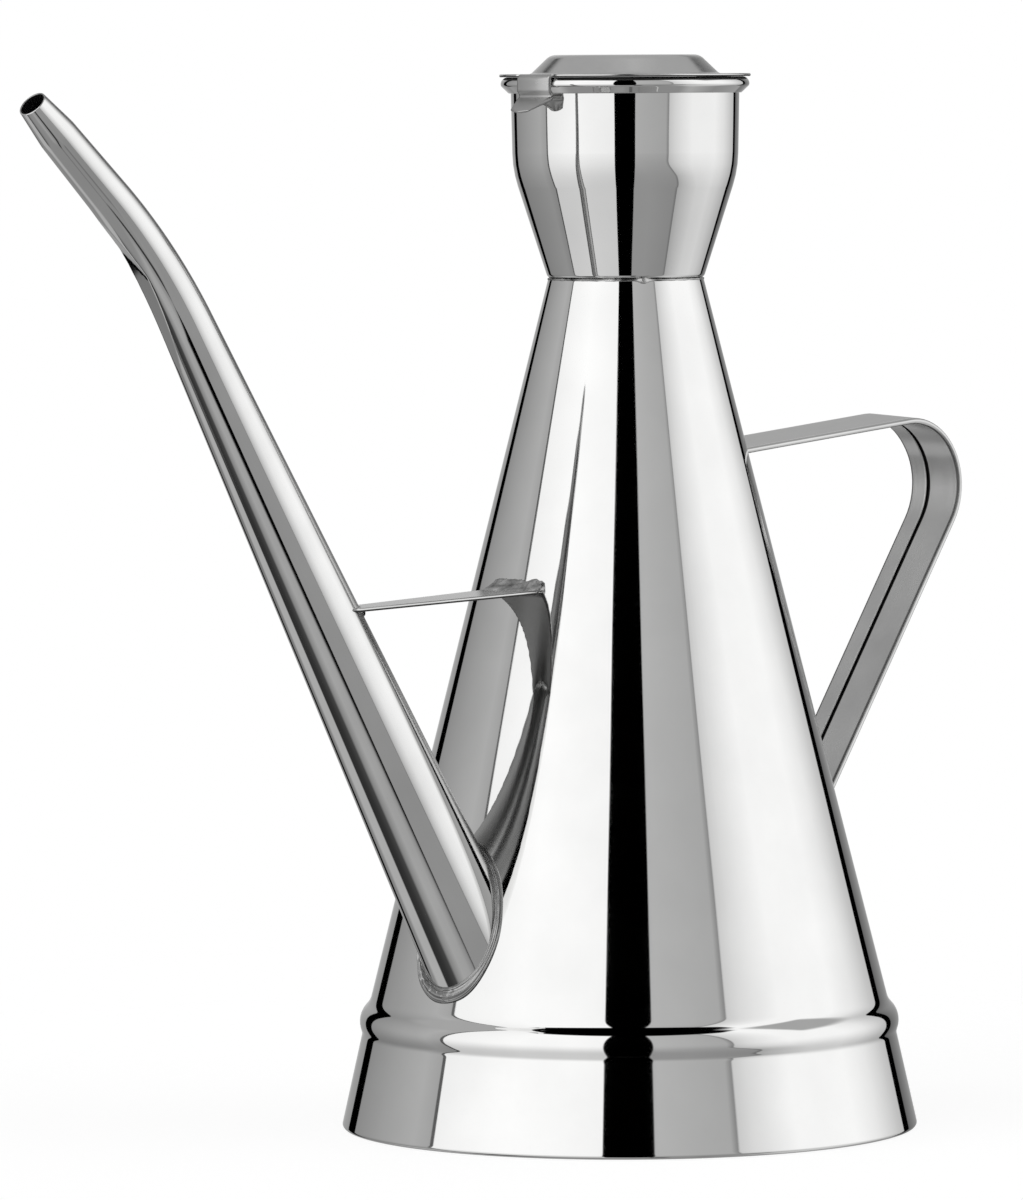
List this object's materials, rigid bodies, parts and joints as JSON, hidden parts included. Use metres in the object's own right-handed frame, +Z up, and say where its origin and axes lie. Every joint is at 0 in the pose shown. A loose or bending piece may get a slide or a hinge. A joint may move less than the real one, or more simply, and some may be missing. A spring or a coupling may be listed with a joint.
{
  "type": "oil cruet",
  "caption": "Conical steel oil cruet with a filling funnel, clip-on domed lid, long braced pouring spout and folded strip handle.",
  "frame": {"origin": "on the cone's axis, at the level of the table that the foot stands on", "axes": "+Z up the cone's axis, -X along the spout, +X along the handle"},
  "size_m": [0.2673, 0.125, 0.2331],
  "materials": {
    "polished_steel": "mirror polished sheet",
    "bright_steel": "polished strip and tube",
    "lid_steel": "polished spring sheet",
    "solder": "rough grey solder"
  },
  "bodies": {
    "cruet": {"body_cone": "polished_steel", "bottom_pan": "polished_steel", "neck_funnel": "polished_steel", "handle": "bright_steel", "spout": "bright_steel", "spout_solder": "solder", "brace": "bright_steel", "brace_body_solder": "solder", "brace_spout_solder": "solder"},
    "lid": {"lid": "lid_steel", "lid_tongue_spout_side": "lid_steel", "lid_tongue_handle_side": "lid_steel"}
  },
  "joints": [
    {"name": "lid_lift", "type": "slide", "parent": "cruet", "child": "lid", "axis": [0, 0, 1], "range_m": [0, 0.04], "deforming": ["lid_tongue_spout_side", "lid_tongue_handle_side"]}
  ]
}
